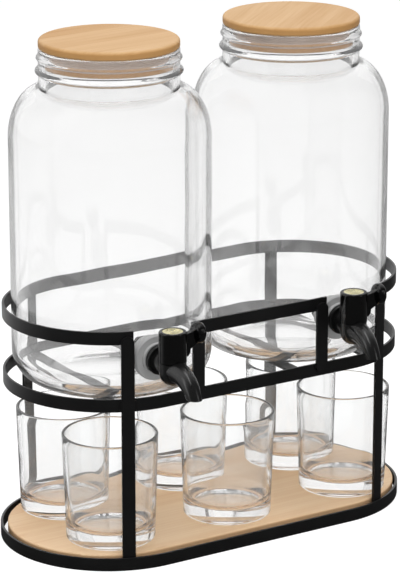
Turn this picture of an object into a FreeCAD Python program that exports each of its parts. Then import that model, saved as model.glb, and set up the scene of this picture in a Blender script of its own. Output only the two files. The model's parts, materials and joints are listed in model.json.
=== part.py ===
import FreeCAD, Part

import math
import os

from FreeCAD import Vector

# Drink dispenser set: a flat-bar steel rack that carries two glass jars with bamboo lids and
# lever taps, over a bamboo tray with six tumblers. Millimetres, +Z up, front towards -Y,
# origin on the floor under the middle of the rack.

# Rack: flat bar bent on edge into stadium rings, with posts welded to them
BAR_WIDTH = 10.0
BAR_THICK = 2.0
HALF_STRAIGHT = 84.0
SHELF_RADIUS = 81.0
BASE_RADIUS = 85.0
SHELF_Z = 124.0
UPPER_Z = 176.0
POST_TOP = 182.5
POST_ANGLE = 21.0
SHORT_POST_X = 55.5
SHORT_POST_FOOT = 127.0
TAP_GAP_OUTER_X = 108.5
BEAD_RADIUS = 1.1
BEAD_OFF = 0.3
BEAD_LEAST_VOLUME = 0.5
JAR_BAR_X = (-114.0, -44.0, 44.0, 114.0)
TRAY_BAR_X = (-70.0, 0.0, 70.0)

# Bamboo tray, loose inside the base ring and pushed up to its right end
TRAY_CENTRE_X = 1.3
TRAY_HALF_STRAIGHT = 88.2
TRAY_RADIUS = 76.9
TRAY_THICK = 9.0
TRAY_EDGE = 1.5

# Glass jars: rings and bars hold them at the shelf, with the taps turned a little outwards
JAR_CENTRE_X = {"left": -81.8, "right": 80.2}
JAR_TURN = {"left": -5.8, "right": -5.0}
JAR_RADIUS = 76.0
JAR_WALL = 4.0
JAR_FLOOR = 6.0
JAR_CORNER = 24.0
JAR_BOWL = 20.0
JAR_DISH = 2.5
JAR_RING_WIDTH = 4.0
JAR_CROWN = 1.5
SHOULDER_Z = 313.5
SHOULDER_ACROSS = 24.6
SHOULDER_UP = 38.2
SHOULDER_TOP_ANGLE = 3
NECK_RADIUS = 52.7
NECK_BORE = 47.4
RIM_Z = 381.0
RIM_ROUND = 1.6
LOWER_BEAD_Z = 364.0
LOWER_BEAD_RADIUS = 55.2
LOWER_BEAD_HALF = 2.6
UPPER_BEAD_Z = 373.8
UPPER_BEAD_RADIUS = 54.3
UPPER_BEAD_HALF = 1.7
TAP_HOLE = 8.0

# Bamboo lid with a silicone sealing ring round its plug
LID_RADIUS = 52.6
LID_BOTTOM = 381.3
LID_TOP = 388.0
LID_TOP_ROUND = 2.4
LID_LOW_ROUND = 1.6
LID_PLUG_RADIUS = 46.2
LID_PLUG_BOTTOM = 368.0
LID_PLUG_CHAMFER = 0.8
SEAL_BOTTOM = 372.4
SEAL_TOP = 379.9
SEAL_RADIUS = 47.1
SEAL_RIB = 0.9
SEAL_GROOVE = 44.7

# Tap: distances forward are from the jar's axis, heights are from the tap's own axis. The two
# holes were cut at slightly different heights, and the soft washers let each tap swing a little.
TAP_Z = {"left": 163.0, "right": 166.9}
TAP_SWING = {"left": 2.5, "right": -3.0}
WASHER_RADIUS = 17.5
WASHER_BEVEL = 1.0
WASHER_STEP = 79.3
WASHER_HUB_RADIUS = 12.0
WASHER_FACE = 82.5
SEAT_RADIUS = 14.0
NUT_FACE = 64.0
NUT_THICK = 6.0
NUT_CORNER_RADIUS = 13.4
NUT_BEVEL = 0.5
FLANGE_RADIUS = 11.3
FLANGE_THICK = 4.0
FLANGE_ROUND = 1.0
SHANK_RADIUS = 7.5
SHANK_SLEEVE = 0.9
SHANK_INNER_END = 56.0
SHANK_BORE = 4.0
BARREL_FORWARD = 103.5
BARREL_RADIUS = 10.4
BARREL_BOTTOM = 4.4
BARREL_TOP = 27.4
BARREL_ROOM = 0.4
BODY_RADIUS = 10.1
BODY_TOP = 3.8
BODY_ROUND_FROM = -4.0
COLLAR_RADIUS = 8.2
COLLAR_TOP = 17.5
CAP_LIP = 1.2
CAP_ROOM = 1.0
PLUG_RADIUS = 5.0
PLUG_CLEARANCE = 0.05
PLUG_BOTTOM = -8.0
SPIGOT_RADIUS = 4.0
SPIGOT_TOP = 24.0
DISC_RADIUS = 7.6
DISC_THICK = 1.0
DISC_SUNK = 0.2
DISC_EDGE_GAP = 0.05
DISC_GROOVES = ((1.8, 2.6), (4.3, 5.5))
DISC_GROOVE_DEEP = 0.3
PORT_RADIUS = 3.2
SPOUT_LOW = 2.0
SPOUT_STRAIGHT = 8.8
SPOUT_BEND = 28.5
SPOUT_TURN = 62.0
SPOUT_RADII = (8.6, 8.2, 7.3, 6.4, 5.4, 4.9)
SPOUT_BORE = 3.2
SPOUT_CUT = -15.4
KNOB_ACROSS = 21.2
KNOB_UP = 23.0
KNOB_RADIUS = 8.0
KNOB_THICK = 7.6
KNOB_FLAT = 1.8
LEVER_THICK = 5.6
LEVER_EDGE = 0.9
LEVER_SIDE = ((9.2, 6.8), (11.6, 6.8), (13.6, 9.4), (13.9, 12.2), (19.0, 15.6), (19.0, 27.4),
              (14.6, 25.2), (9.2, 23.8))

# Tumblers: centres on the tray, front row then rear row of each column
TUMBLER_PLACES = {
    "tumbler_front_left": (-103.9, -33.6),
    "tumbler_rear_left": (-102.3, 40.0),
    "tumbler_front_middle": (-0.8, -36.7),
    "tumbler_rear_middle": (8.4, 44.6),
    "tumbler_front_right": (108.3, -35.6),
    "tumbler_rear_right": (108.2, 37.6),
}
TUMBLER_HEIGHT = 83.5
TUMBLER_RIM = 36.5
TUMBLER_FOOT = 33.5
TUMBLER_FLOOR = 10.0
TUMBLER_WALL = 2.4
TUMBLER_FOOT_ROUND = 2.2
TUMBLER_FOOT_RING = 2.5
TUMBLER_HOLLOW = 1.4
TUMBLER_BOWL = 9.0
TUMBLER_BOWL_INSET = 2.6

UP = Vector(0, 0, 1)
FORWARD = Vector(0, -1, 0)
ORIGIN = Vector(0, 0, 0)


def save(name, shape):
    """Write one node; several separate solids in a node stay a compound."""
    shape.exportStep("parts/" + name + ".step")


def box(x0, x1, y0, y1, z0, z1):
    return Part.makeBox(x1 - x0, y1 - y0, z1 - z0, Vector(x0, y0, z0))


def stadium(half_straight, radius, z0, height):
    """A solid slab with straight sides and half-round ends."""
    slab = box(-half_straight, half_straight, -radius, radius, z0, z0 + height)
    ends = [Part.makeCylinder(radius, height, Vector(x, 0, z0)) for x in (-half_straight, half_straight)]
    return slab.multiFuse(ends).removeSplitter()


def bar_ring(radius, z0, height=BAR_WIDTH):
    """Flat bar bent into a stadium ring; radius is to its outer face."""
    outside = stadium(HALF_STRAIGHT, radius, z0, height)
    return outside.cut(stadium(HALF_STRAIGHT, radius - BAR_THICK, z0, height))


def lathe(edges):
    """Turn a closed outline in the XZ plane about the Z axis."""
    outline = Part.Wire(Part.__sortEdges__([edge.toShape() for edge in edges]))
    return Part.Face(outline).revolve(ORIGIN, UP, 360)


def line(a, b):
    return Part.LineSegment(Vector(a[0], 0, a[1]), Vector(b[0], 0, b[1]))


def arc(a, mid, b):
    return Part.Arc(*[Vector(p[0], 0, p[1]) for p in (a, mid, b)])


def corner(centre, radius, start, end):
    """A round corner about a centre, from one angle to another in degrees."""
    points = []
    for angle in (start, (start + end) / 2, end):
        turn = math.radians(angle)
        points.append((centre[0] + radius * math.cos(turn), centre[1] + radius * math.sin(turn)))
    return arc(*points)


def dome(edge, apex_z):
    """A shallow round dome from a point of the outline in to its apex on the axis."""
    rise = apex_z - edge[1]
    radius = (edge[0] ** 2 + rise ** 2) / (2 * rise)
    half = math.asin(edge[0] / abs(radius)) / 2
    middle = (abs(radius) * math.sin(half), apex_z - radius + radius * math.cos(half))
    return arc(edge, middle, (0, apex_z))


def along_forward(radius, near, far, height):
    """A round bar along the tap's forward direction, near and far from the jar's axis."""
    return Part.makeCylinder(radius, far - near, Vector(0, -near, height), FORWARD)


# ---------------------------------------------------------------- rack

def post_place(shape, side, end):
    """Swing a shape made at the front of a ring's round end to one of the four posts."""
    placed = shape.copy()
    if end > 0:
        placed = placed.mirror(ORIGIN, Vector(0, 1, 0))
    placed.rotate(ORIGIN, UP, POST_ANGLE * side * -end)
    placed.translate(Vector(side * HALF_STRAIGHT, 0, 0))
    return placed


def post_blank(foot, round_foot):
    """A strip as wide as the bar with a round top, deep enough to cut any ring band."""
    half = BAR_WIDTH / 2
    depth = (BASE_RADIUS + 5, SHELF_RADIUS - 10)
    low = foot + half if round_foot else foot
    blank = box(-half, half, -depth[0], -depth[1], low, POST_TOP - half)
    reach = depth[0] - depth[1]
    ends = [Part.makeCylinder(half, reach, Vector(0, -depth[1], POST_TOP - half), FORWARD)]
    if round_foot:
        ends.append(Part.makeCylinder(half, reach, Vector(0, -depth[1], low), FORWARD))
    return blank.multiFuse(ends).removeSplitter()


def bead(radius_out, across, z0, z1):
    """A short upright weld bead beside a post, before it is cut to the bars it joins."""
    return Part.makeCylinder(BEAD_RADIUS, z1 - z0, Vector(across, -radius_out, z0))


def make_rack():
    base = bar_ring(BASE_RADIUS, 0)
    shelf = bar_ring(SHELF_RADIUS, SHELF_Z)
    upper = bar_ring(SHELF_RADIUS, UPPER_Z)
    far = BASE_RADIUS + 5
    top = UPPER_Z + BAR_WIDTH
    short_edge = SHORT_POST_X + BAR_WIDTH / 2
    rear = upper.cut(box(-TAP_GAP_OUTER_X, TAP_GAP_OUTER_X, -far, 0, UPPER_Z, top))
    front = upper.common(box(-short_edge, short_edge, -far, 0, UPPER_Z, top))
    rings = {
        "base_ring": base,
        "shelf_ring": shelf,
        "upper_ring_rear": rear,
        "upper_ring_front": front,
    }

    sleeve = bar_ring(SHELF_RADIUS + BAR_THICK, 0, POST_TOP)
    posts = {}
    for side, side_name in ((-1, "left"), (1, "right")):
        for end, end_name in ((-1, "front"), (1, "rear")):
            blank = post_place(post_blank(0, False), side, end)
            posts["post_" + end_name + "_" + side_name] = sleeve.common(blank)
        blank = post_blank(SHORT_POST_FOOT, True)
        blank.translate(Vector(side * SHORT_POST_X, 0, 0))
        posts["short_post_" + side_name] = sleeve.common(blank)

    for name, shape in list(rings.items()) + list(posts.items()):
        save(name, shape)
    save("weld_beads", make_beads(list(rings.values()) + list(posts.values())))

    within_shelf = stadium(HALF_STRAIGHT, SHELF_RADIUS - BAR_THICK, SHELF_Z, BAR_THICK)
    within_base = stadium(HALF_STRAIGHT, BASE_RADIUS - BAR_THICK, 0, BAR_THICK)
    save("jar_cross_bars", cross_bars(JAR_BAR_X, within_shelf, SHELF_Z))
    save("tray_cross_bars", cross_bars(TRAY_BAR_X, within_base, 0))


def cross_bars(places, within, z0):
    half = BAR_WIDTH / 2
    bars = [box(x - half, x + half, -BASE_RADIUS, BASE_RADIUS, z0, z0 + BAR_THICK) for x in places]
    return Part.makeCompound([within.common(bar) for bar in bars])


def make_beads(bars):
    """Weld beads down the edges of the posts, trimmed to the bars that they join."""
    beside = BAR_WIDTH / 2 + BEAD_OFF
    outside = SHELF_RADIUS + BEAD_OFF
    inside = BASE_RADIUS - BAR_THICK - BEAD_OFF
    raw = []
    for side in (-1, 1):
        for end in (-1, 1):
            joints = [(outside, beside, SHELF_Z), (outside, -beside, SHELF_Z)]
            joints += [(inside, beside, 0), (inside, -beside, 0)]
            outer_edge = beside * side
            joints.append((outside, outer_edge, UPPER_Z))
            if end > 0:
                joints.append((outside, -outer_edge, UPPER_Z))
            for radius_out, across, z0 in joints:
                height = min(z0 + BAR_WIDTH - 1, POST_TOP - BAR_WIDTH / 2)
                raw.append(post_place(bead(radius_out, across, z0 + 1, height), side, end))
        inner = side * (SHORT_POST_X - beside)
        raw.append(bead(outside, inner, SHORT_POST_FOOT + 4, SHELF_Z + BAR_WIDTH - 1))
        raw.append(bead(outside, inner, UPPER_Z + 1, POST_TOP - BAR_WIDTH / 2))
    solids = []
    for one in raw:
        solids.extend(one.cut(bars).Solids)
    return Part.makeCompound([solid for solid in solids if solid.Volume > BEAD_LEAST_VOLUME])


# ---------------------------------------------------------------- tray and tumblers

def make_tray():
    tray = stadium(TRAY_HALF_STRAIGHT, TRAY_RADIUS, BAR_THICK, TRAY_THICK)
    rims = [edge for edge in tray.Edges if abs(edge.BoundBox.ZLength) < 0.01]
    tray = tray.makeFillet(TRAY_EDGE, rims)
    tray.translate(Vector(TRAY_CENTRE_X, 0, 0))
    save("tray", tray)


def make_tumblers():
    """Heavy-based tumblers; the foot has a shallow hollow and the rim is fire-rounded."""
    foot_flat = TUMBLER_FOOT - TUMBLER_FOOT_ROUND
    ring_inner = foot_flat - TUMBLER_FOOT_RING
    rim_z = TUMBLER_HEIGHT - TUMBLER_WALL / 2
    rim_middle = TUMBLER_RIM - TUMBLER_WALL / 2
    bowl_side = TUMBLER_FOOT - TUMBLER_BOWL_INSET
    bowl_flat = bowl_side - TUMBLER_BOWL
    bowl_z = TUMBLER_FLOOR + TUMBLER_BOWL
    outline = [
        line((0, TUMBLER_HOLLOW), (0, TUMBLER_FLOOR)),
        line((0, TUMBLER_FLOOR), (bowl_flat, TUMBLER_FLOOR)),
        corner((bowl_flat, bowl_z), TUMBLER_BOWL, -90, 0),
        line((bowl_side, bowl_z), (TUMBLER_RIM - TUMBLER_WALL, rim_z)),
        corner((rim_middle, rim_z), TUMBLER_WALL / 2, 180, 0),
        line((TUMBLER_RIM, rim_z), (TUMBLER_FOOT, TUMBLER_FOOT_ROUND)),
        corner((foot_flat, TUMBLER_FOOT_ROUND), TUMBLER_FOOT_ROUND, 0, -90),
        line((foot_flat, 0), (ring_inner, 0)),
        dome((ring_inner, 0), TUMBLER_HOLLOW),
    ]
    tumbler = lathe(outline)
    for name, (x, y) in TUMBLER_PLACES.items():
        placed = tumbler.copy()
        placed.translate(Vector(x, y, BAR_THICK + TRAY_THICK))
        save(name, placed)


# ---------------------------------------------------------------- jar

def shoulder(radius_in, inset, top_angle):
    """A quarter ellipse from the wall up to the neck; inset shrinks it for the inner face."""
    centre = Vector(radius_in, 0, SHOULDER_Z)
    top = Vector(radius_in, 0, SHOULDER_Z + SHOULDER_UP - inset)
    side = Vector(radius_in + SHOULDER_ACROSS, 0, SHOULDER_Z)
    curve = Part.Ellipse(top, side, centre)
    return Part.Arc(curve, math.radians(top_angle), math.pi / 2)


def make_jar_shape(tap_z):
    """Pressed glass jar with a domed floor, ellipse shoulder, beaded neck and a tap hole."""
    bottom = SHELF_Z + BAR_THICK
    outer_centre = JAR_RADIUS - SHOULDER_ACROSS
    curve_top = shoulder(outer_centre, 0, SHOULDER_TOP_ANGLE)
    neck_start = curve_top.StartPoint
    inner_wall = JAR_RADIUS - JAR_WALL
    inner_shoulder = shoulder(inner_wall - SHOULDER_ACROSS, JAR_WALL, 0)
    inner_top = inner_shoulder.StartPoint
    inner_floor = bottom + JAR_FLOOR
    bowl_x = inner_wall - JAR_BOWL
    bowl_z = inner_floor + JAR_BOWL
    flat = JAR_RADIUS - JAR_CORNER
    ring_inner = flat - JAR_RING_WIDTH
    rim_z = RIM_Z - RIM_ROUND
    neck_low = (NECK_RADIUS, LOWER_BEAD_Z - LOWER_BEAD_HALF)
    neck_mid = (NECK_RADIUS, LOWER_BEAD_Z + LOWER_BEAD_HALF)
    neck_high = (NECK_RADIUS, UPPER_BEAD_Z - UPPER_BEAD_HALF)
    neck_top = (NECK_RADIUS, UPPER_BEAD_Z + UPPER_BEAD_HALF)
    outline = [
        line((0, bottom + JAR_DISH), (0, inner_floor + JAR_CROWN)),
        dome((bowl_x, inner_floor), inner_floor + JAR_CROWN),
        corner((bowl_x, bowl_z), JAR_BOWL, -90, 0),
        line((inner_wall, bowl_z), (inner_wall, SHOULDER_Z)),
        inner_shoulder,
        line((inner_top.x, inner_top.z), (NECK_BORE, rim_z)),
        corner((NECK_BORE + RIM_ROUND, rim_z), RIM_ROUND, 180, 90),
        line((NECK_BORE + RIM_ROUND, RIM_Z), (NECK_RADIUS - RIM_ROUND, RIM_Z)),
        corner((NECK_RADIUS - RIM_ROUND, rim_z), RIM_ROUND, 90, 0),
        line((NECK_RADIUS, rim_z), neck_top),
        arc(neck_top, (UPPER_BEAD_RADIUS, UPPER_BEAD_Z), neck_high),
        line(neck_high, neck_mid),
        arc(neck_mid, (LOWER_BEAD_RADIUS, LOWER_BEAD_Z), neck_low),
        line(neck_low, (neck_start.x, neck_start.z)),
        curve_top,
        line((JAR_RADIUS, SHOULDER_Z), (JAR_RADIUS, bottom + JAR_CORNER)),
        corner((flat, bottom + JAR_CORNER), JAR_CORNER, 0, -90),
        line((flat, bottom), (ring_inner, bottom)),
        dome((ring_inner, bottom), bottom + JAR_DISH),
    ]
    hole = along_forward(TAP_HOLE, JAR_RADIUS - 3 * JAR_WALL, JAR_RADIUS + JAR_WALL, tap_z)
    return lathe(outline).cut(hole)


# ---------------------------------------------------------------- lid

def make_lid_shapes():
    """One turned piece of bamboo, a disc over a plug, and the ring that seals it."""
    edge_top = LID_TOP - LID_TOP_ROUND
    edge_low = LID_BOTTOM + LID_LOW_ROUND
    plug_low = LID_PLUG_BOTTOM + LID_PLUG_CHAMFER
    plug_flat = LID_PLUG_RADIUS - LID_PLUG_CHAMFER
    outline = [
        line((0, LID_PLUG_BOTTOM), (0, LID_TOP)),
        line((0, LID_TOP), (LID_RADIUS - LID_TOP_ROUND, LID_TOP)),
        corner((LID_RADIUS - LID_TOP_ROUND, edge_top), LID_TOP_ROUND, 90, 0),
        line((LID_RADIUS, edge_top), (LID_RADIUS, edge_low)),
        corner((LID_RADIUS - LID_LOW_ROUND, edge_low), LID_LOW_ROUND, 0, -90),
        line((LID_RADIUS - LID_LOW_ROUND, LID_BOTTOM), (SEAL_GROOVE, LID_BOTTOM)),
        line((SEAL_GROOVE, LID_BOTTOM), (SEAL_GROOVE, SEAL_BOTTOM)),
        line((SEAL_GROOVE, SEAL_BOTTOM), (LID_PLUG_RADIUS, SEAL_BOTTOM)),
        line((LID_PLUG_RADIUS, SEAL_BOTTOM), (LID_PLUG_RADIUS, plug_low)),
        line((LID_PLUG_RADIUS, plug_low), (plug_flat, LID_PLUG_BOTTOM)),
        line((plug_flat, LID_PLUG_BOTTOM), (0, LID_PLUG_BOTTOM)),
    ]
    waist = SEAL_RADIUS - SEAL_RIB
    third = (SEAL_TOP - SEAL_BOTTOM) / 3
    seal = [
        line((SEAL_GROOVE, SEAL_BOTTOM), (SEAL_GROOVE, SEAL_TOP)),
        line((SEAL_GROOVE, SEAL_TOP), (waist, SEAL_TOP)),
        arc((waist, SEAL_TOP), (SEAL_RADIUS, SEAL_TOP - third / 2), (waist, SEAL_TOP - third)),
        line((waist, SEAL_TOP - third), (waist, SEAL_BOTTOM + third)),
        arc((waist, SEAL_BOTTOM + third), (SEAL_RADIUS, SEAL_BOTTOM + third / 2), (waist, SEAL_BOTTOM)),
        line((waist, SEAL_BOTTOM), (SEAL_GROOVE, SEAL_BOTTOM)),
    ]
    return {"lid": lathe(outline), "lid_seal": lathe(seal)}


# ---------------------------------------------------------------- tap
# The tap's own pieces are made with the tap's axis at height 0, then lifted to their jar's hole.

def spout(radii, overrun):
    """A curved nose lofted through round sections along the spout's centre line."""
    stations = [(0.0, 0.0), (SPOUT_STRAIGHT, 0.0)]
    for share in (1 / 3, 2 / 3, 1):
        turn = math.radians(SPOUT_TURN * share)
        stations.append((SPOUT_STRAIGHT + SPOUT_BEND * math.sin(turn), turn))
    wires = []
    for (ahead, turn), radius in zip(stations, radii):
        drop = SPOUT_BEND * (1 - math.cos(turn))
        point = Vector(0, -BARREL_FORWARD - ahead, -SPOUT_LOW - drop)
        heading = Vector(0, -math.cos(turn), -math.sin(turn))
        wires.append(round_section(point, heading, radius))
    wires.append(round_section(point + heading * overrun, heading, radii[-1]))
    return Part.makeLoft(wires, True)


def round_section(point, heading, radius):
    return Part.Wire(Part.Circle(point, heading, radius).toShape())


def tap_lathe(edges):
    """Turn an outline about the tap's upright axis; heights are from the tap's axis."""
    shape = lathe(edges)
    shape.translate(FORWARD * BARREL_FORWARD)
    return shape


def upright(radius, low, high):
    return Part.makeCylinder(radius, high - low, Vector(0, -BARREL_FORWARD, low))


def make_tap_body():
    """Moulded body: threaded shank, flange, rounded valve housing, collar and spout."""
    housing = tap_lathe([
        line((0, BODY_ROUND_FROM - BODY_RADIUS), (0, BODY_TOP)),
        line((0, BODY_TOP), (BODY_RADIUS, BODY_TOP)),
        line((BODY_RADIUS, BODY_TOP), (BODY_RADIUS, BODY_ROUND_FROM)),
        corner((0, BODY_ROUND_FROM), BODY_RADIUS, 0, -90),
    ])
    flange = along_forward(FLANGE_RADIUS, WASHER_FACE, WASHER_FACE + FLANGE_THICK, 0)
    front_rim = [edge for edge in flange.Edges if edge.BoundBox.YMax < -WASHER_FACE - 1]
    flange = flange.makeFillet(FLANGE_ROUND, front_rim)
    into_housing = BARREL_FORWARD - BODY_RADIUS / 2
    pieces = [
        along_forward(SHANK_RADIUS, SHANK_INNER_END, into_housing, 0),
        along_forward(SHANK_RADIUS + SHANK_SLEEVE, WASHER_FACE + 2, into_housing, 0),
        flange,
        upright(COLLAR_RADIUS, 0, COLLAR_TOP),
        spout(SPOUT_RADII, 8),
    ]
    body = housing.multiFuse(pieces)
    below = box(-20, 20, -BARREL_FORWARD - 60, -BARREL_FORWARD + 5, -60, SPOUT_CUT)
    channel = along_forward(SHANK_BORE, SHANK_INNER_END - 1, BARREL_FORWARD, 0)
    seat = upright(PLUG_RADIUS, PLUG_BOTTOM - 0.3, COLLAR_TOP + 1)
    bore = spout([SPOUT_BORE] * len(SPOUT_RADII), 10)
    turning_room = upright(BARREL_RADIUS + BARREL_ROOM, BODY_TOP, BARREL_TOP)
    turning_room = turning_room.cut(upright(COLLAR_RADIUS, BODY_TOP - 1, COLLAR_TOP))
    return body.cut([below, channel, seat, bore, turning_room]).removeSplitter()


def make_tap_handle():
    """Barrel cap that turns on the collar, with a side lever that ends in a flat knob."""
    recess = BARREL_TOP - DISC_THICK - DISC_SUNK
    recess_rim = DISC_RADIUS + DISC_SUNK
    bore = COLLAR_RADIUS + BARREL_ROOM
    ceiling = COLLAR_TOP + CAP_ROOM
    lip = (BARREL_RADIUS - CAP_LIP, BARREL_TOP - CAP_LIP)
    cap = tap_lathe([
        line((SPIGOT_RADIUS, ceiling), (SPIGOT_RADIUS, SPIGOT_TOP)),
        line((SPIGOT_RADIUS, SPIGOT_TOP), (0, SPIGOT_TOP)),
        line((0, SPIGOT_TOP), (0, recess)),
        line((0, recess), (DISC_RADIUS, recess)),
        line((DISC_RADIUS, recess), (recess_rim, BARREL_TOP)),
        line((recess_rim, BARREL_TOP), (lip[0], BARREL_TOP)),
        corner(lip, CAP_LIP, 90, 0),
        line((BARREL_RADIUS, lip[1]), (BARREL_RADIUS, BARREL_BOTTOM)),
        line((BARREL_RADIUS, BARREL_BOTTOM), (bore, BARREL_BOTTOM)),
        line((bore, BARREL_BOTTOM), (bore, ceiling)),
        line((bore, ceiling), (SPIGOT_RADIUS, ceiling)),
    ])
    corners = [Vector(x, -BARREL_FORWARD + LEVER_THICK / 2, z) for x, z in LEVER_SIDE]
    blade = Part.Face(Part.makePolygon(corners + corners[:1])).extrude(FORWARD * LEVER_THICK)
    upright_edges = [edge for edge in blade.Edges if edge.BoundBox.YLength < 0.1]
    blade = blade.makeFillet(LEVER_EDGE, upright_edges)
    return cap.fuse([blade, make_knob()]).removeSplitter()


def make_knob():
    """A thick round button with soft edges, standing on edge at the lever's end."""
    centre = Vector(KNOB_ACROSS, -BARREL_FORWARD, KNOB_UP)
    half = KNOB_THICK / 2
    button = Part.makeCylinder(KNOB_RADIUS, KNOB_THICK, centre - Vector(half, 0, 0), Vector(1, 0, 0))
    rims = [edge for edge in button.Edges if edge.BoundBox.XLength < 0.1]
    return button.makeFillet((KNOB_THICK - KNOB_FLAT) / 2, rims)


def make_disc():
    """Plain metal disc in the cap's recess, with two shallow turned grooves."""
    top = BARREL_TOP - DISC_SUNK
    low = top - DISC_THICK
    edge = DISC_RADIUS - DISC_EDGE_GAP
    slope = 0.2
    steps = [(0, top)]
    for inner, outer in DISC_GROOVES:
        floor = top - DISC_GROOVE_DEEP
        steps += [(inner, top), (inner + slope, floor), (outer - slope, floor), (outer, top)]
    steps += [(edge, top), (edge, low), (0, low), (0, top)]
    return tap_lathe([line(a, b) for a, b in zip(steps, steps[1:])])


def make_valve_plug():
    """Plug with a cross hole; its upper spigot is held in the handle."""
    plug = upright(PLUG_RADIUS - PLUG_CLEARANCE, PLUG_BOTTOM, COLLAR_TOP + CAP_ROOM)
    plug = plug.fuse(upright(SPIGOT_RADIUS, COLLAR_TOP, SPIGOT_TOP))
    start = Vector(-PLUG_RADIUS - 1, -BARREL_FORWARD, 0)
    hole = Part.makeCylinder(PORT_RADIUS, 2 * PLUG_RADIUS + 2, start, Vector(1, 0, 0))
    return plug.cut(hole).removeSplitter()


def make_nut():
    """Hexagonal nut with its corners turned off, on the shank inside the jar."""
    corners = []
    for step in range(7):
        turn = math.radians(60 * step)
        corners.append(Vector(NUT_CORNER_RADIUS * math.cos(turn), -NUT_FACE,
                              NUT_CORNER_RADIUS * math.sin(turn)))
    nut = Part.Face(Part.makePolygon(corners)).extrude(Vector(0, NUT_THICK, 0))
    turned = along_forward(NUT_CORNER_RADIUS - NUT_BEVEL, NUT_FACE - NUT_THICK, NUT_FACE, 0)
    return nut.common(turned).cut(along_forward(SHANK_RADIUS, 0, JAR_RADIUS, 0))


def make_washers(jar, tap_z, tap_body, tap_nut):
    """Soft silicone washers, shaped to the round glass and to the tap that they seal."""
    outer = along_forward(WASHER_RADIUS, JAR_RADIUS - JAR_WALL, WASHER_STEP, tap_z)
    front_rim = [edge for edge in outer.Edges if edge.BoundBox.YMax < -JAR_RADIUS]
    outer = outer.makeChamfer(WASHER_BEVEL, front_rim)
    outer = outer.fuse(along_forward(WASHER_HUB_RADIUS, WASHER_STEP - 1, WASHER_FACE, tap_z))
    inside = Part.makeCylinder(JAR_RADIUS - JAR_WALL, 80, Vector(0, 0, tap_z - 40))
    seat = along_forward(SEAT_RADIUS, NUT_FACE, JAR_RADIUS, tap_z).common(inside)
    shank = along_forward(SHANK_RADIUS, 0, JAR_RADIUS + 20, tap_z)
    around = [jar, shank, tap_body, tap_nut]
    return {"tap_outer_washer": outer.cut(around).removeSplitter(), "tap_inner_washer": seat.cut(around)}


def make_jar_sets():
    """The same jar, lid and tap twice, turned and set in their places on the shelf."""
    tap = {
        "tap_body": make_tap_body(),
        "tap_handle": make_tap_handle(),
        "tap_disc": make_disc(),
        "tap_valve_plug": make_valve_plug(),
        "tap_nut": make_nut(),
    }
    for side, centre_x in JAR_CENTRE_X.items():
        tap_z = TAP_Z[side]
        pieces = {"jar": make_jar_shape(tap_z)}
        pieces.update(make_lid_shapes())
        for name, shape in tap.items():
            pieces[name] = shape.copy()
            pieces[name].translate(UP * tap_z)
            pieces[name].rotate(FORWARD * JAR_RADIUS, UP, TAP_SWING[side])
        pieces.update(make_washers(pieces["jar"], tap_z, pieces["tap_body"], pieces["tap_nut"]))
        for name, placed in pieces.items():
            placed.rotate(ORIGIN, UP, JAR_TURN[side])
            placed.translate(Vector(centre_x, 0, 0))
            save(side + "_" + name, placed)


os.makedirs("parts", exist_ok=True)
make_rack()
make_tray()
make_tumblers()
make_jar_sets()
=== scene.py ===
import json
import math

import bmesh
import bpy
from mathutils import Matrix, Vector, noise

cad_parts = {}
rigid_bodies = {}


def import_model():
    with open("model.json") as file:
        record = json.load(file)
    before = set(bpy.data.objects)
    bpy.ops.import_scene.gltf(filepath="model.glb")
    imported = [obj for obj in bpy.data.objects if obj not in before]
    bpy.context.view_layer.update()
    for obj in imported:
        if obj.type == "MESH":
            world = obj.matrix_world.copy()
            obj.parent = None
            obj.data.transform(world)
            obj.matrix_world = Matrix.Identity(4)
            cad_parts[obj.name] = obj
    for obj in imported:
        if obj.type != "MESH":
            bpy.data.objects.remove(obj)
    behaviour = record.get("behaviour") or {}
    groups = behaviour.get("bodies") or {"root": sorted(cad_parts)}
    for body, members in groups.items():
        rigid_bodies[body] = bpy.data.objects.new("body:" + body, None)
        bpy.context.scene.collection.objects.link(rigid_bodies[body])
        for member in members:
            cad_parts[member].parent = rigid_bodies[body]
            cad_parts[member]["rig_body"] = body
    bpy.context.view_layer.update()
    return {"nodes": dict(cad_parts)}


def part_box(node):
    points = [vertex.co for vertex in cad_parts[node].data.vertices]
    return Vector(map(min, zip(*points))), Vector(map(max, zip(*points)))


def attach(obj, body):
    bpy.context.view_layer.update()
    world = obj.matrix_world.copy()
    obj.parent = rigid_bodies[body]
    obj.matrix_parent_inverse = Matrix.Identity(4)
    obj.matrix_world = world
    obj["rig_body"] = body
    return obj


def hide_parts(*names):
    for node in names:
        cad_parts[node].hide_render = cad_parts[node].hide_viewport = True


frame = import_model()

# ------------------------------------------------------------------ studio
# The set stands on a pale floor under one big soft lamp. Weaker strips light only the rack's
# bars and the taps' bodies, handles and discs. The camera is to the front left, above the
# lids, behind a long lens. Lengths are in metres, save where a name or comment says so.

CAMERA_PLACE = Vector((-1.1704, -1.8472, 0.8424))
CAMERA_AIM = Vector((-0.0053, -0.0046, 0.1857))
SENSOR = 36.0  # mm
LENS = 186.4  # mm
FLOOR_RADIUS = 14.0
FLOOR_CORNERS = 96
WHITE = (1, 1, 1, 1)

# Backdrop levels. The gloss is dark to the front and rises to the back and up, along GLOSS_WAY.
GLOSS_WAY = (-0.1, 0.85, 0.52)
GLOSS_START = 0.1
GLOSS_NEAR = 0.09
SKY_LIGHT = 0.42
SKY_SEEN = 1.0
SKY_GLOSS_END = 0.65
SKY_GLOSS_FAR = 1.0
FLOOR_LIGHT = 0.75
FLOOR_SEEN = 0.45
FLOOR_GLOW = 0.76
FLOOR_GLOSS_END = 0.5
FLOOR_GLOSS_FAR = 0.9
FLOOR_ROUGHNESS = 0.9

view = bpy.context.scene.view_settings
view.view_transform = "Standard"

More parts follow.
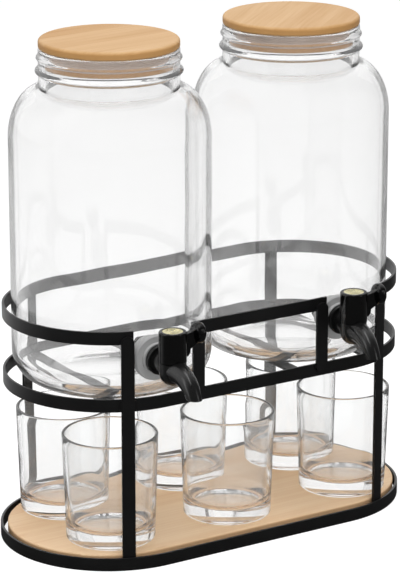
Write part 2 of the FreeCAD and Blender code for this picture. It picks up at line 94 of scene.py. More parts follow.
camera = bpy.data.objects.new("camera", bpy.data.cameras.new("camera"))
camera.data.sensor_fit = "VERTICAL"
camera.data.sensor_height = SENSOR
camera.data.lens = LENS
camera.location = CAMERA_PLACE
camera.rotation_euler = (CAMERA_AIM - CAMERA_PLACE).to_track_quat("-Z", "Y").to_euler()
bpy.context.scene.collection.objects.link(camera)
bpy.context.scene.camera = camera


def feed(tree, node, inputs):
    """Fill a node's inputs, each with a value or with the output socket that it is linked to."""
    for name, value in inputs.items():
        if isinstance(value, bpy.types.NodeSocket):
            tree.links.new(value, node.inputs[name])
        else:
            node.inputs[name].default_value = value
    return node


def add(tree, kind, inputs=None, **settings):
    """Add a shader node with its settings and inputs."""
    made = tree.nodes.new("ShaderNode" + kind)
    for name, value in settings.items():
        setattr(made, name, value)
    return feed(tree, made, inputs or {})


def calc(tree, operation, *values):
    """The result of a math node."""
    return add(tree, "Math", dict(enumerate(values)), operation=operation).outputs[0]


def ramp(tree, value, start, end, low=0.0, high=1.0):
    """A value carried over from start..end to low..high, and held at both ends."""
    return add(tree, "MapRange", {"Value": value, "From Min": start, "From Max": end,
                                  "To Min": low, "To Max": high}).outputs[0]


def object_place(tree):
    return add(tree, "TexCoord").outputs["Object"]


def backdrop_level(tree, light, gloss, eye):
    """One level for rays that light the set, one for those in its gloss, one for the eye."""
    path = add(tree, "LightPath").outputs
    seen = calc(tree, "MAXIMUM", path["Is Camera Ray"], path["Is Transmission Ray"])
    in_gloss = ramp(tree, path["Is Glossy Ray"], 0.0, 1.0, light, gloss)
    return ramp(tree, seen, 0.0, 1.0, in_gloss, eye)


def brighter_behind(tree, place, end, far):
    """A level that rises to the back and up, so that edges catch light and fronts stay dark."""
    away = add(tree, "VectorMath", {0: place, 1: GLOSS_WAY}, operation="DOT_PRODUCT")
    return ramp(tree, away.outputs["Value"], GLOSS_START, end, GLOSS_NEAR, far)


world = bpy.data.worlds.new("studio")
world.use_nodes = True
sky = world.node_tree
sky_shader = sky.nodes["Background"]
sky_shader.inputs["Color"].default_value = WHITE
sky_gloss = brighter_behind(sky, add(sky, "TexCoord").outputs["Generated"], SKY_GLOSS_END,
                            SKY_GLOSS_FAR)
sky.links.new(backdrop_level(sky, SKY_LIGHT, sky_gloss, SKY_SEEN), sky_shader.inputs["Strength"])
bpy.context.scene.world = world

floor_mesh = bpy.data.meshes.new("floor")
floor_turns = [math.tau * i / FLOOR_CORNERS for i in range(FLOOR_CORNERS)]
floor_rim = [(FLOOR_RADIUS * math.cos(a), FLOOR_RADIUS * math.sin(a), 0) for a in floor_turns]
floor_mesh.from_pydata(floor_rim, [], [range(FLOOR_CORNERS)])
floor = bpy.data.objects.new("floor", floor_mesh)
bpy.context.scene.collection.objects.link(floor)

floor_paint = bpy.data.materials.new("floor_paint")
floor_paint.use_nodes = True
floor_tree = floor_paint.node_tree
floor_shader = floor_tree.nodes["Principled BSDF"]
floor_shader.inputs["Roughness"].default_value = FLOOR_ROUGHNESS
floor_shader.inputs["Specular IOR Level"].default_value = 0.0
floor_shader.inputs["Emission Color"].default_value = WHITE
floor_gloss = brighter_behind(floor_tree, object_place(floor_tree), FLOOR_GLOSS_END,
                              FLOOR_GLOSS_FAR)
floor_tree.links.new(backdrop_level(floor_tree, FLOOR_LIGHT, floor_gloss, FLOOR_SEEN),
                     floor_shader.inputs["Base Color"])
floor_tree.links.new(backdrop_level(floor_tree, 0.0, 0.0, FLOOR_GLOW),
                     floor_shader.inputs["Emission Strength"])
floor_mesh.materials.append(floor_paint)

LAMP_AIM = Vector((0, 0, 0.2))
LAMPS = {
    # name: place, width, height, watts
    "overhead": ((-0.3, -0.5, 2.0), 1.5, 1.5, 29.5),
    "top_strip": ((-0.1, -0.2, 1.7), 0.22, 1.2, 3.0),
    "left_strip": ((-1.6, 0.2, 0.8), 0.3, 1.3, 2.2),
    "right_strip": ((1.0, -1.7, 0.9), 0.2, 1.3, 2.8),
}
black_pieces = bpy.data.collections.new("black_pieces")
for name, (place, width, height, watts) in LAMPS.items():
    lamp = bpy.data.lights.new(name, "AREA")
    lamp.shape = "RECTANGLE"
    lamp.size = width
    lamp.size_y = height
    lamp.energy = watts
    holder = bpy.data.objects.new(name, lamp)
    holder.location = place
    holder.rotation_euler = (LAMP_AIM - Vector(place)).to_track_quat("-Z", "Y").to_euler()
    bpy.context.scene.collection.objects.link(holder)
    holder.visible_glossy = name != "overhead"
    holder.visible_transmission = False
    if name != "overhead":
        holder.light_linking.receiver_collection = black_pieces

# ------------------------------------------------------------------ rack
# Flat steel bar, bent on edge into stadium rings and welded to upright posts, with four bars
# across for the jars and three for the tray. Its edges are rolled soft, and the whole rack is
# coated in satin black paint.

BAR_EDGE = 0.0003
EDGE_SEGMENTS = 2
SHARP_ANGLE = math.radians(50)
SAME_POINT = 1e-6
STEEL_BLACK = (0.0045, 0.0043, 0.0044, 1)
STEEL_WORN = (0.0105, 0.0105, 0.0107, 1)
SWELL_HEIGHT = 2.0  # height of the skin's swells, as a multiple of its dimples


def start_material(name):
    """A new material, its node tree and its main shader."""
    material = bpy.data.materials.new(name)
    material.use_nodes = True
    return material, material.node_tree, material.node_tree.nodes["Principled BSDF"]


def start_group(name, inputs, outputs):
    """An empty node group; a socket's kind is Float, Vector or Color."""
    group = bpy.data.node_groups.new(name, "ShaderNodeTree")
    for label, kind, value in inputs:
        socket = group.interface.new_socket(label, in_out="INPUT", socket_type="NodeSocket" + kind)
        socket.default_value = value
    for label, kind in outputs:
        group.interface.new_socket(label, in_out="OUTPUT", socket_type="NodeSocket" + kind)
    given = group.nodes.new("NodeGroupInput").outputs
    return group, given, group.nodes.new("NodeGroupOutput").inputs


def place_group(tree, group, inputs):
    """Place a node group in a tree, fill its inputs and give its outputs."""
    return feed(tree, add(tree, "Group", node_tree=group), inputs).outputs


def blend(tree, share, first, second):
    """A colour that goes from the first to the second as its share goes from 0 to 1."""
    return add(tree, "Mix", {"Factor": share, "A": first, "B": second},
               data_type="RGBA").outputs["Result"]


def dented(tree, height, depth):
    """A normal that is bent by a height field, whose full swing is a depth in metres."""
    return add(tree, "Bump", {"Height": height, "Strength": 1.0,
                              "Distance": depth}).outputs["Normal"]


def build_skin():
    """The small unevenness of a coated or moulded surface: fine dimples over slow swells."""
    group, given, out = start_group(
        "surface_skin",
        [("Vector", "Vector", (0, 0, 0)), ("Dimples per metre", "Float", 900.0),
         ("Swells per metre", "Float", 60.0), ("Roughness", "Float", 0.4),
         ("Roughness spread", "Float", 0.1)],
        [("Roughness", "Float"), ("Height", "Float"), ("Swell", "Float")])
    fine = add(group, "TexNoise", {"Vector": given["Vector"], "Scale": given["Dimples per metre"],
                                   "Detail": 2.0}).outputs["Fac"]
    slow = add(group, "TexNoise", {"Vector": given["Vector"], "Scale": given["Swells per metre"],
                                   "Detail": 3.0}).outputs["Fac"]
    swing = calc(group, "SUBTRACT", slow, 0.5)
    uneven = calc(group, "MULTIPLY_ADD", swing, given["Roughness spread"], given["Roughness"])
    group.links.new(uneven, out["Roughness"])
    group.links.new(calc(group, "MULTIPLY_ADD", slow, SWELL_HEIGHT, fine), out["Height"])
    group.links.new(slow, out["Swell"])
    return group


surface_skin = build_skin()


def coated(name, colours, dimples, swells, roughness, spread, depth, specular):
    """A material whose colour drifts between two close tones under an uneven skin.

    Dimples and swells are per metre, spread is how far the roughness drifts, and depth is in
    metres.
    """
    material, tree, shader = start_material(name)
    skin = place_group(tree, surface_skin,
                       {"Vector": object_place(tree), "Dimples per metre": dimples,
                        "Swells per metre": swells, "Roughness": roughness,
                        "Roughness spread": spread})
    tree.links.new(blend(tree, skin["Swell"], *colours), shader.inputs["Base Color"])
    tree.links.new(skin["Roughness"], shader.inputs["Roughness"])
    tree.links.new(dented(tree, skin["Height"], depth), shader.inputs["Normal"])
    shader.inputs["Specular IOR Level"].default_value = specular
    return material


def dress(node, material):
    """Give a CAD node its finish."""
    slots = frame["nodes"][node].data.materials
    slots.clear()
    slots.append(material)


def soften(node, width, material):
    """Stand in for a CAD node with the same shape, its sharp edges rounded to a width."""
    mesh = frame["nodes"][node].data.copy()
    if "custom_normal" in mesh.attributes:
        mesh.attributes.remove(mesh.attributes["custom_normal"])
    shape = bmesh.new()
    shape.from_mesh(mesh)
    bmesh.ops.remove_doubles(shape, verts=shape.verts, dist=SAME_POINT)
    sharp = [edge for edge in shape.edges
             if edge.is_manifold and edge.calc_face_angle() > SHARP_ANGLE]
    bmesh.ops.bevel(shape, geom=sharp, offset=width, offset_type="OFFSET",
                    segments=EDGE_SEGMENTS, profile=0.5, affect="EDGES",
                    clamp_overlap=True)
    for face in shape.faces:
        face.smooth = True
    shape.to_mesh(mesh)
    shape.free()
    mesh.materials.clear()
    mesh.materials.append(material)
    piece = bpy.data.objects.new(node + "_finished", mesh)
    bpy.context.scene.collection.objects.link(piece)
    black_pieces.objects.link(piece)
    even = piece.modifiers.new("even_shading", "WEIGHTED_NORMAL")
    even.keep_sharp = False
    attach(piece, frame["nodes"][node]["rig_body"])
    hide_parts(node)
    return piece


steel_paint = coated("satin_black_paint", (STEEL_BLACK, STEEL_WORN), dimples=700.0, swells=45.0,
                     roughness=0.33, spread=0.2, depth=0.00004, specular=0.36)
BAR_NAMES = ("base_ring", "shelf_ring", "upper_ring", "post_", "short_post", "jar_cross",
             "tray_cross")
for node in [node for node in frame["nodes"] if node.startswith(BAR_NAMES)]:
    soften(node, BAR_EDGE, steel_paint)
dress("weld_beads", steel_paint)

# ------------------------------------------------------------------ tray
# A bamboo board, glued up from narrow split strips, with a satin lacquer. It lies loose inside
# the base ring on the rack's three tray bars.

TRAY_PALE = (0.97, 0.72, 0.475, 1)
TRAY_DARK = (0.80, 0.51, 0.285, 1)
# painted shade: the colour of the tray's upright sides, deeper and more orange than its top, for
# how light falls on them
TRAY_SIDE_SHADE = (0.99, 0.61, 0.32, 1)
TRAY_STRIP = 0.022

# Cells of the grain per metre, along X, across and down
FIBRES_PER_METRE = (14.0, 900.0, 500.0)
CLOUDS_PER_METRE = (6.0, 90.0, 90.0)
KNOTS_PER_METRE = (11.0, 32.0, 0.0)
# How much each adds to the tone, which goes from pale to dark between the two last values
STRIP_SHARE = 0.45
FIBRE_SHARE = 1.0
CLOUD_SHARE = 0.7
JOINT_SHARE = 0.2
KNOT_SHARE = 0.35
TONE_PALE_AT = 0.62
TONE_DARK_AT = 1.52
# A joint shows from this distance off a strip's middle; 0.5 is the strip's edge
JOINT_FROM = 0.485
JOINT_HEIGHT = -0.6
KNOT_CORE = 0.02
KNOT_RIM = 0.09
GRAIN_ROUGHNESS = (0.38, 0.6)
GRAIN_DEPTH = 0.00006
GRAIN_SPECULAR = 0.25
# Painted shade on upright sides, for how light falls on them: the side colour is full where the
# surface stands, at the share set below, and gone where it lies
SIDE_SHADE_SHARE = 0.8
SIDE_STANDS = 0.15
SIDE_LIES = 0.85


def build_bamboo():
    """Glued bamboo strips with fibres along X: a tone for each strip, fibres, joints and knots."""
    group, given, out = start_group(
        "bamboo_strips",
        [("Vector", "Vector", (0, 0, 0)), ("Strip width", "Float", 0.02),
         ("Pale", "Color", TRAY_PALE), ("Dark", "Color", TRAY_DARK)],
        [("Color", "Color"), ("Roughness", "Float"), ("Height", "Float")])

    def stretched(cells):
        return add(group, "Mapping", {"Vector": given["Vector"], "Scale": cells}).outputs[0]

    part = add(group, "SeparateXYZ", {0: given["Vector"]}).outputs
    across = calc(group, "DIVIDE", part["Y"], given["Strip width"])
    strip_tone = add(group, "TexWhiteNoise", {"W": calc(group, "FLOOR", across)},
                     noise_dimensions="1D").outputs["Value"]
    own_start = add(group, "CombineXYZ", {"X": strip_tone}).outputs[0]
    fibre_place = add(group, "VectorMath", {0: stretched(FIBRES_PER_METRE), 1: own_start})
    fibres = add(group, "TexNoise", {"Vector": fibre_place.outputs[0], "Scale": 1.0,
                                     "Detail": 4.0, "Roughness": 0.6}).outputs["Fac"]
    clouds = add(group, "TexNoise", {"Vector": stretched(CLOUDS_PER_METRE), "Scale": 1.0,
                                     "Detail": 2.0}).outputs["Fac"]
    off_middle = calc(group, "ABSOLUTE",
                      calc(group, "SUBTRACT", calc(group, "FRACT", across), 0.5))
    joint = ramp(group, off_middle, JOINT_FROM, 0.5)
    knots = add(group, "TexVoronoi", {"Vector": stretched(KNOTS_PER_METRE), "Scale": 1.0})
    knot = ramp(group, knots.outputs["Distance"], KNOT_CORE, KNOT_RIM, 1.0, 0.0)
    tone = calc(group, "MULTIPLY", strip_tone, STRIP_SHARE)
    for value, share in ((fibres, FIBRE_SHARE), (clouds, CLOUD_SHARE), (joint, JOINT_SHARE),
                         (knot, KNOT_SHARE)):
        tone = calc(group, "MULTIPLY_ADD", value, share, tone)
    darkness = ramp(group, tone, TONE_PALE_AT, TONE_DARK_AT)
    group.links.new(blend(group, darkness, given["Pale"], given["Dark"]), out["Color"])
    group.links.new(ramp(group, fibres, 0.0, 1.0, *GRAIN_ROUGHNESS), out["Roughness"])
    group.links.new(calc(group, "MULTIPLY_ADD", joint, JOINT_HEIGHT, fibres), out["Height"])
    return group


bamboo_strips = build_bamboo()


def upward(tree):
    """How far a surface faces up: 1 on top, 0 on an upright side, -1 underneath."""
    normal = add(tree, "NewGeometry").outputs["Normal"]
    return add(tree, "SeparateXYZ", {0: normal}).outputs["Z"]


def bamboo(name, turn, strip_width, pale, dark, side):
    """Bamboo whose fibres are turned from +X by degrees, with painted shade at its upright side: a
    deeper tone there for how light falls on it.
    """
    material, tree, shader = start_material(name)
    turned_place = add(tree, "Mapping", {"Vector": object_place(tree),
                                         "Rotation": (0, 0, math.radians(-turn))}).outputs[0]
    grain = place_group(tree, bamboo_strips, {"Vector": turned_place, "Strip width": strip_width,
                                              "Pale": pale, "Dark": dark})
    # painted shade: upright sides are blended towards the side colour, whatever the light
    side_shade = ramp(tree, calc(tree, "ABSOLUTE", upward(tree)), SIDE_STANDS, SIDE_LIES,
                   SIDE_SHADE_SHARE, 0.0)
    tree.links.new(blend(tree, side_shade, grain["Color"], side), shader.inputs["Base Color"])
    tree.links.new(grain["Roughness"], shader.inputs["Roughness"])
    tree.links.new(dented(tree, grain["Height"], GRAIN_DEPTH), shader.inputs["Normal"])
    shader.inputs["Specular IOR Level"].default_value = GRAIN_SPECULAR
    return material


dress("tray", bamboo("tray_bamboo", 0.0, TRAY_STRIP, TRAY_PALE, TRAY_DARK, TRAY_SIDE_SHADE))

# ------------------------------------------------------------------ tumblers
# Six pressed glass tumblers with a heavy base, a fire-rounded rim and slow waves in the inner
# wall, loose on the tray. Lengths are in millimetres, save the ripple's, which are in metres.

GLASS_IOR = 1.5
GLASS_RIPPLE_DEPTH = 0.0002
# Painted shade: the grey of a wall seen edge on, which stands in for the dark surroundings that
# its edges refract, goes out between the two upward slopes at its top and foot
WALL_TOP = (0.63, 0.87)
WALL_FOOT = (-0.55, -0.22)


def clear_glass(name, tint, clearness, edge_shade_levels, ripples):
    """Soda glass: clear face on, faintly rippled, and with painted shade where its outer wall is
    seen edge on.

    The edge levels are (how edge on, grey level) pairs of this painted grey, which stands in for
    the dark surroundings that the wall's edges refract; 0 is face on and 1 is edge on. Ripples are
    per metre.
    """
    material, tree, shader = start_material(name)
    shader.inputs["Transmission Weight"].default_value = clearness
    shader.inputs["IOR"].default_value = GLASS_IOR
    shader.inputs["Roughness"].default_value = 0.0
    facing = add(tree, "LayerWeight", {"Blend": 0.5}).outputs["Facing"]
    grey = add(tree, "ValToRGB", {"Fac": facing})
    stops = grey.color_ramp.elements
    stops.remove(stops[0])
    for number, (position, level) in enumerate(edge_shade_levels):
        stop = stops.new(position) if number else stops[0]
        stop.position = position
        stop.color = (level, level, level, 1)
    slope = upward(tree)
    steep = calc(tree, "MULTIPLY", ramp(tree, slope, *WALL_TOP, 1.0, 0.0),
                 ramp(tree, slope, *WALL_FOOT))
    outside = add(tree, "Attribute", attribute_name="outside").outputs["Fac"]
    edge_shade_share = calc(tree, "MULTIPLY", steep, outside)
    # painted shade: the grey edge levels go into the glass colour on the standing outer wall, in
    # place of what its edges refract
    tree.links.new(blend(tree, edge_shade_share, tint, grey.outputs[0]), shader.inputs["Base Color"])
    ripple = add(tree, "TexNoise", {"Vector": object_place(tree), "Scale": ripples,
                                    "Detail": 1.0}).outputs["Fac"]
    tree.links.new(dented(tree, ripple, GLASS_RIPPLE_DEPTH), shader.inputs["Normal"])
    return material


MM = 0.001
AROUND = 144
AXIS_NEAR = 0.01  # a point of an outline that is closer to the axis than this lies on it


def round_off(centre, radius, start, end, steps=8):
    """Points (radius, height) along a round corner; angles in degrees, 0 is outward, 90 is up."""
    angles = [math.radians(start + (end - start) * i / steps) for i in range(steps + 1)]
    return [(centre[0] + radius * math.cos(a), centre[1] + radius * math.sin(a)) for a in angles]


def straight(start, end, steps):
    """Points between two ends, without the ends."""
    shares = [i / steps for i in range(1, steps)]
    return [(start[0] + (end[0] - start[0]) * t, start[1] + (end[1] - start[1]) * t)
            for t in shares]


def hollow(edge, middle_z, steps=6):
    """Points from a rim in to the axis over a shallow dish, the axis point last."""
    shares = [i / steps for i in range(1, steps + 1)]
    return [(edge[0] * (1 - t), middle_z + (edge[1] - middle_z) * (1 - t) ** 2) for t in shares]


def turned(name, outline, outer_points, unevenness):
    """Spin a closed outline in millimetres about the upright, from axis to axis.

    Its first outer_points points are marked as outside, and unevenness(radius, height, angle)
    gives how far a point of it stands out.
    """
    shape = bmesh.new()
    outside = shape.verts.layers.float.new("outside")
    rings = []
    for number, (radius, height) in enumerate(outline):
        ring = []
        off_axis = radius > AXIS_NEAR
        for i in range(AROUND if off_axis else 1):
            angle = math.tau * i / AROUND
            reach = (radius + unevenness(radius, height, angle)) * MM if off_axis else 0.0
            ring.append(shape.verts.new((reach * math.cos(angle), reach * math.sin(angle),
                                         height * MM)))
            ring[-1][outside] = float(number < outer_points)
        rings.append(ring)
    for low, high in zip(rings, rings[1:]):
        for i in range(AROUND):
            j = (i + 1) % AROUND
            corners = [low[i % len(low)], low[j % len(low)], high[j % len(high)],
                       high[i % len(high)]]
            face = shape.faces.new(dict.fromkeys(corners))
            face.smooth = True
    mesh = bpy.data.meshes.new(name)
    shape.to_mesh(mesh)
    shape.free()
    return mesh


def set_piece(name, mesh, place, material, node):
    """Stand a finished mesh in a CAD node's place, on the same body."""
    mesh.materials.append(material)
    piece = bpy.data.objects.new(name, mesh)
    piece.location = place
    bpy.context.scene.collection.objects.link(piece)
    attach(piece, frame["nodes"][node]["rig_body"])
    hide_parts(node)
    return piece


def glass_waves(depth, length, seed):
    """Slow waves in the inner wall, as pressed glass keeps from its mould and its cooling.

    Their depth and length are in millimetres; each seed gives waves of its own.
    """
    def wave(radius, height, angle):
        round_way = Vector((radius * math.cos(angle), radius * math.sin(angle), height)) / length
        return depth * noise.noise(round_way + Vector((seed, 0, 0)))
    return wave


TUMBLER_WALL = 2.4
TUMBLER_THICKENING = 0.2  # how much thicker the wall is above the bowl than at the rim
TUMBLER_TAPER = 2.5
TUMBLER_FLOOR = 10.0
TUMBLER_BOWL = 9.0
TUMBLER_FOOT_ROUND = 2.2
TUMBLER_STANDING_RIM = 2.5
TUMBLER_HOLLOW = 1.4
TUMBLER_TINT = (0.99, 0.995, 0.995, 1)
TUMBLER_CLEARNESS = 0.955
# painted shade: grey levels by how edge on the outer wall is seen, for the dark surroundings its
# edges refract
TUMBLER_EDGE_SHADE = ((0.0, 0.995), (0.6, 0.99), (0.66, 0.88), (0.8, 0.9), (1.0, 0.93))
TUMBLER_RIPPLES_PER_METRE = 30.0
TUMBLER_WAVE_DEPTH = 0.18
TUMBLER_WAVE_LENGTH = 22.0
TUMBLER_WAVE_SEED = 7.0

tumbler_glass = clear_glass("tumbler_glass", TUMBLER_TINT, TUMBLER_CLEARNESS,
                            TUMBLER_EDGE_SHADE, TUMBLER_RIPPLES_PER_METRE)
for number, node in enumerate(n for n in frame["nodes"] if n.startswith("tumbler")):
    low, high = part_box(node)
    rim_radius = (high.x - low.x) / 2 / MM
    foot = rim_radius - TUMBLER_TAPER
    lip = TUMBLER_WALL / 2
    top = (high.z - low.z) / MM - lip
    foot_flat = foot - TUMBLER_FOOT_ROUND
    bowl_side = foot - TUMBLER_WALL - TUMBLER_THICKENING
    bowl_edge = bowl_side - TUMBLER_BOWL
    bowl_top = TUMBLER_FLOOR + TUMBLER_BOWL
    standing_rim = (foot_flat - TUMBLER_STANDING_RIM, 0)
    outline = hollow(standing_rim, TUMBLER_HOLLOW)[::-1] + [standing_rim]
    outline += round_off((foot_flat, TUMBLER_FOOT_ROUND), TUMBLER_FOOT_ROUND, -90, 0)
    outline += straight((foot, TUMBLER_FOOT_ROUND), (rim_radius, top), steps=12)
    outer_points = len(outline)
    outline += round_off((rim_radius - lip, top), lip, 0, 180, steps=12)
    outline += straight((rim_radius - TUMBLER_WALL, top), (bowl_side, bowl_top), steps=12)
    outline += round_off((bowl_edge, bowl_top), TUMBLER_BOWL, 0, -90, steps=10)
    outline += straight((bowl_edge, TUMBLER_FLOOR), (0, TUMBLER_FLOOR), steps=6)
    outline += [(0, TUMBLER_FLOOR)]
    waves = glass_waves(TUMBLER_WAVE_DEPTH, TUMBLER_WAVE_LENGTH, TUMBLER_WAVE_SEED * number)

    def inner_waves(radius, height, angle):
        inside = radius < foot - 1 and height > TUMBLER_FLOOR - 1
        return waves(radius, height, angle) if inside else 0.0

    mesh = turned(node + "_glass", outline, outer_points, inner_waves)
    place = ((low.x + high.x) / 2, (low.y + high.y) / 2, low.z)
    tumbler = set_piece(node + "_glass", mesh, place, tumbler_glass, node)
    tumbler.visible_shadow = False

# ------------------------------------------------------------------ jars
# Two machine-made glass jars with a domed floor, round shoulders and a beaded neck, and a
# hole cut in the front of each wall for its tap. They stand on the shelf's cross bars.
# Lengths are in millimetres.

JAR_RADIUS = 76.0
JAR_WALL = 4.0
JAR_FLOOR = 6.0
JAR_CORNER = 24.0
JAR_BOWL = 20.0
JAR_UNDERSIDE = 2.5
JAR_STANDING_RIM = 4.0
JAR_CROWN = 1.5  # how much higher the floor is in its middle
SHOULDER_UP = 187.5
SHOULDER_ACROSS = 24.6
SHOULDER_RISE = 38.2
SHOULDER_TURN = 87  # degrees that the outer shoulder bends through before the neck
SHOULDER_STEPS = 16
NECK_START = 1.2
NECK_RADIUS = 52.7
NECK_BORE = 47.4
NECK_BEADS = ((238.0, 55.2, 2.6), (247.8, 54.3, 1.7))  # height, radius, half its height
BEAD_ROUNDNESS = 1.2
BEAD_STEPS = 4
JAR_HEIGHT = 255.0
JAR_LIP = 1.6
TAP_HOLE = 8.0
DRILL_LENGTH = 24
JAR_TINT = (0.975, 0.975, 0.975, 1)
JAR_CLEARNESS = 0.95
# painted shade: a thin grey line and dark bands towards the edge, for the dark surroundings the
# wall's edges refract
JAR_EDGE_SHADE = ((0.0, 0.975), (0.57, 0.97), (0.6, 0.8), (0.62, 0.97), (0.655, 0.97),
                   (0.705, 0.2), (0.78, 0.3), (0.86, 0.22), (1.0, 0.35))
JAR_RIPPLES_PER_METRE = 22.0
JAR_WAVE_DEPTH = 0.45
JAR_WAVE_LENGTH = 30.0
JAR_WAVE_SEED = 11.0
# The waves keep this share of their depth above a height, and grow to full over a way down
CALM_SHARE = 0.15
CALM_HEIGHT = 60
CALM_WAY = 40


def jar_outline():
    """The jar's outline, and how many of its points are on the outside below the neck."""
    flat = JAR_RADIUS - JAR_CORNER
    standing_rim = (flat - JAR_STANDING_RIM, 0)
    outline = hollow(standing_rim, JAR_UNDERSIDE)[::-1] + [standing_rim]
    outline += round_off((flat, JAR_CORNER), JAR_CORNER, -90, 0, steps=16)
    outline += straight((JAR_RADIUS, JAR_CORNER), (JAR_RADIUS, SHOULDER_UP), steps=22)
    for step in range(SHOULDER_STEPS + 1):
        turn = math.radians(SHOULDER_TURN * step / SHOULDER_STEPS)
        outline.append((JAR_RADIUS - SHOULDER_ACROSS * (1 - math.cos(turn)),
                        SHOULDER_UP + SHOULDER_RISE * math.sin(turn)))
    outer_points = len(outline)
    outline.append((NECK_RADIUS, SHOULDER_UP + SHOULDER_RISE + NECK_START))
    for height, radius, half in NECK_BEADS:
        for step in range(-BEAD_STEPS, BEAD_STEPS + 1):
            bulge = math.cos(math.pi * step / (2 * BEAD_STEPS)) ** BEAD_ROUNDNESS
            outline.append((NECK_RADIUS + (radius - NECK_RADIUS) * bulge,
                            height + half * step / BEAD_STEPS))
    lip_middle = JAR_HEIGHT - JAR_LIP
    outline += round_off((NECK_RADIUS - JAR_LIP, lip_middle), JAR_LIP, 0, 90, steps=5)
    outline += round_off((NECK_BORE + JAR_LIP, lip_middle), JAR_LIP, 90, 180, steps=5)
    inner_rise = SHOULDER_RISE - JAR_WALL
    outline += straight((NECK_BORE, lip_middle), (NECK_BORE, SHOULDER_UP + inner_rise), steps=8)
    for step in range(SHOULDER_STEPS + 1):
        turn = math.radians(90 - 90 * step / SHOULDER_STEPS)
        outline.append((JAR_RADIUS - JAR_WALL - SHOULDER_ACROSS * (1 - math.cos(turn)),
                        SHOULDER_UP + inner_rise * math.sin(turn)))
    bowl_edge = JAR_RADIUS - JAR_WALL - JAR_BOWL
    outline += straight((JAR_RADIUS - JAR_WALL, SHOULDER_UP),
                        (JAR_RADIUS - JAR_WALL, JAR_FLOOR + JAR_BOWL), steps=22)
    outline += round_off((bowl_edge, JAR_FLOOR + JAR_BOWL), JAR_BOWL, 0, -90, steps=12)
    outline += hollow((bowl_edge, JAR_FLOOR), JAR_FLOOR + JAR_CROWN, steps=10)
    return outline, outer_points


def cut_tap_hole(jar, towards):
    """Cut the round hole for the tap's shank through the wall, centred on a point of its face.

    The drill is aimed from the middle of the jar's foot, so the hole slants down inwards, while
    the shank is level. The washers cover both ends of the hole.
    """
    drill = bmesh.new()
    bmesh.ops.create_cone(drill, cap_ends=True, segments=32, radius1=TAP_HOLE * MM,
                          radius2=TAP_HOLE * MM, depth=DRILL_LENGTH * MM)
    drill_mesh = bpy.data.meshes.new("drill")
    drill.to_mesh(drill_mesh)
    drill.free()
    cutter = bpy.data.objects.new("drill", drill_mesh)
    cutter.location = towards
    cutter.rotation_euler = (towards - jar.location).to_track_quat("Z", "Y").to_euler()
    bpy.context.scene.collection.objects.link(cutter)
    hole = jar.modifiers.new("tap_hole", "BOOLEAN")
    hole.object = cutter
    hole.solver = "EXACT"
    bpy.context.view_layer.update()
    finished = jar.evaluated_get(bpy.context.evaluated_depsgraph_get())
    drilled = bpy.data.meshes.new_from_object(finished)
    jar.modifiers.clear()
    jar.data = drilled
    drilled.set_sharp_from_angle(angle=SHARP_ANGLE)
    bpy.data.objects.remove(cutter)


jar_glass = clear_glass("jar_glass", JAR_TINT, JAR_CLEARNESS, JAR_EDGE_SHADE,
                        JAR_RIPPLES_PER_METRE)
for number, side in enumerate(("left", "right")):
    low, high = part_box(side + "_jar")
    waves = glass_waves(JAR_WAVE_DEPTH, JAR_WAVE_LENGTH, JAR_WAVE_SEED * number)

    def jar_unevenness(radius, height, angle):
        inside = JAR_FLOOR + 2 < height < SHOULDER_UP + 20
        wall = abs(radius - (JAR_RADIUS - JAR_WALL)) < 20 and radius < JAR_RADIUS - JAR_WALL + 0.1
        grown = max(0.0, min(1.0, (CALM_HEIGHT - height) / CALM_WAY))
        fading = CALM_SHARE + (1 - CALM_SHARE) * grown
        return fading * waves(radius, height, angle) if inside and wall else 0.0

    mesh = turned(side + "_jar_glass", *jar_outline(), jar_unevenness)
    place = ((low.x + high.x) / 2, (low.y + high.y) / 2, low.z)
    jar = set_piece(side + "_jar_glass", mesh, place, jar_glass, side + "_jar")
    jar.visible_shadow = False
    washer_at = sum(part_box(side + "_tap_outer_washer"), Vector()) / 2
    level_way = Vector((washer_at.x - jar.location.x, washer_at.y - jar.location.y, 0))
    hole_at = jar.location + level_way.normalized() * JAR_RADIUS * MM
    hole_at.z = washer_at.z
    cut_tap_hole(jar, hole_at)

# ------------------------------------------------------------------ lids
# Turned bamboo lids: a disc with a rounded edge over a plug that fills the neck, with a soft
# milky silicone ring stretched round the plug.

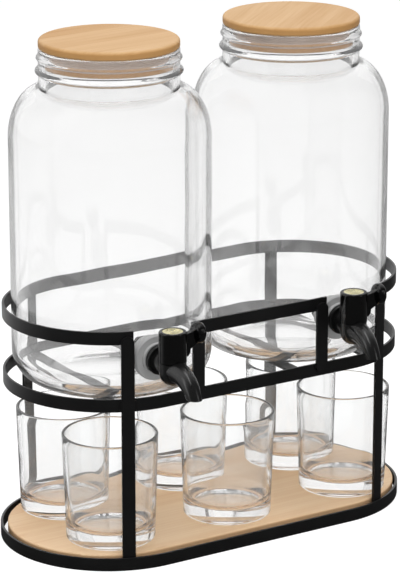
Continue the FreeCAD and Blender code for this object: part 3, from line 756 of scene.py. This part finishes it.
LID_GRAIN = {"left": 6.0, "right": 42.0}  # degrees that the grain is turned from +X
LID_STRIP = 0.018
LID_PALE = (0.675, 0.445, 0.235, 1)
LID_DARK = (0.50, 0.27, 0.10, 1)
# painted shade: the colour of the lids' upright sides, deeper and more orange than their tops, for
# how light falls on them
LID_SIDE_SHADE = (0.60, 0.31, 0.10, 1)
SEAL_TONES = ((0.60, 0.46, 0.37, 1), (0.68, 0.54, 0.45, 1))
lid_seal = coated("lid_silicone", SEAL_TONES, dimples=300.0, swells=80.0, roughness=0.45,
                  spread=0.1, depth=0.00003, specular=0.4)
for side, turn in LID_GRAIN.items():
    dress(side + "_lid", bamboo(side + "_lid_bamboo", turn, LID_STRIP, LID_PALE, LID_DARK,
                               LID_SIDE_SHADE))
    dress(side + "_lid_seal", lid_seal)

# ------------------------------------------------------------------ taps
# Moulded black taps: a satin body with a curved spout, a glossy cap with a side lever, a
# plain metal disc let into the cap, and grey silicone washers against the glass.

SATIN_TONES = ((0.004, 0.004, 0.004, 1), (0.008, 0.008, 0.008, 1))
GLOSS_TONES = ((0.001, 0.001, 0.001, 1), (0.002, 0.002, 0.002, 1))
WASHER_TONES = ((0.40, 0.40, 0.40, 1), (0.50, 0.50, 0.50, 1))
DISC_TONES = ((0.86, 0.78, 0.42, 1), (0.93, 0.87, 0.56, 1))
tap_satin = coated("tap_satin_black", SATIN_TONES, dimples=400.0, swells=60.0, roughness=0.22,
                   spread=0.12, depth=0.00002, specular=0.6)
tap_gloss = coated("tap_gloss_black", GLOSS_TONES, dimples=300.0, swells=60.0, roughness=0.16,
                   spread=0.1, depth=0.00002, specular=0.5)
washer_grey = coated("washer_silicone", WASHER_TONES, dimples=300.0, swells=90.0, roughness=0.4,
                     spread=0.15, depth=0.00003, specular=0.45)
disc_metal = coated("pale_gold", DISC_TONES, dimples=1500.0, swells=200.0, roughness=0.28,
                    spread=0.2, depth=0.00001, specular=0.5)
disc_metal.node_tree.nodes["Principled BSDF"].inputs["Metallic"].default_value = 1.0
for side in ("left", "right"):
    dress(side + "_tap_body", tap_satin)
    dress(side + "_tap_nut", tap_satin)
    dress(side + "_tap_handle", tap_gloss)
    dress(side + "_tap_valve_plug", tap_satin)
    dress(side + "_tap_outer_washer", washer_grey)
    dress(side + "_tap_inner_washer", washer_grey)
    dress(side + "_tap_disc", disc_metal)
    for part in ("body", "handle", "disc"):
        black_pieces.objects.link(frame["nodes"][side + "_tap_" + part])
